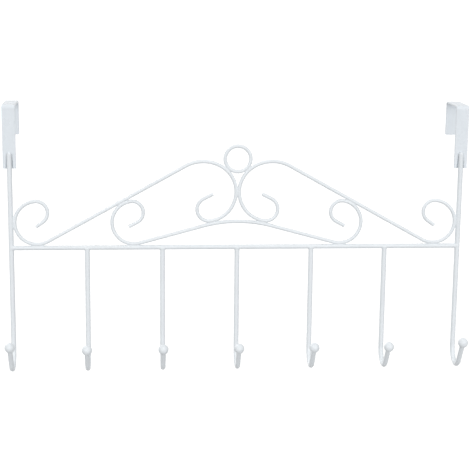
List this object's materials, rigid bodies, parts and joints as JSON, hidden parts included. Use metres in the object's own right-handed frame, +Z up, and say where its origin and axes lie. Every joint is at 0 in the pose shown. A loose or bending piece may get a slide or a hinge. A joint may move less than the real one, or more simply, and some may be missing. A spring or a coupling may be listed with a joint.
{
  "type": "over door hook rack",
  "caption": "White coated wire rack of ball tipped hooks under a crossbar, topped by scrolls, an arch and a ring, hung over a door's top edge by folded straps",
  "frame": {"origin": "On the door's top front edge, midway between the two straps: level with the undersides of the straps' tops, on the plane of the front legs' door faces.", "axes": "+X runs to the right along the door as seen from the room, +Y goes through the door away from the room, +Z is up. The hooks reach towards -Y."},
  "size_m": [0.395, 0.0791, 0.2261],
  "materials": {
    "coated_wire": "smooth semi-gloss white powder coat on steel wire",
    "coated_strap": "smooth semi-gloss white powder coat on folded steel strap",
    "coated_ball": "smooth semi-gloss white powder coat on a steel ball"
  },
  "bodies": {
    "root": {"ball_tip_1": "coated_ball", "ball_tip_2": "coated_ball", "ball_tip_3": "coated_ball", "ball_tip_4": "coated_ball", "ball_tip_5": "coated_ball", "ball_tip_6": "coated_ball", "ball_tip_7": "coated_ball", "crossbar": "coated_wire", "hook_wire_1": "coated_wire", "hook_wire_2": "coated_wire", "hook_wire_3": "coated_wire", "hook_wire_4": "coated_wire", "hook_wire_5": "coated_wire", "left_arch_half": "coated_wire", "left_door_bracket": "coated_strap", "left_scroll_foot": "coated_wire", "left_scroll_head": "coated_wire", "left_upright": "coated_wire", "right_arch_half": "coated_wire", "right_door_bracket": "coated_strap", "right_scroll_foot": "coated_wire", "right_scroll_head": "coated_wire", "right_upright": "coated_wire", "top_ring": "coated_wire"}
  },
  "joints": []
}
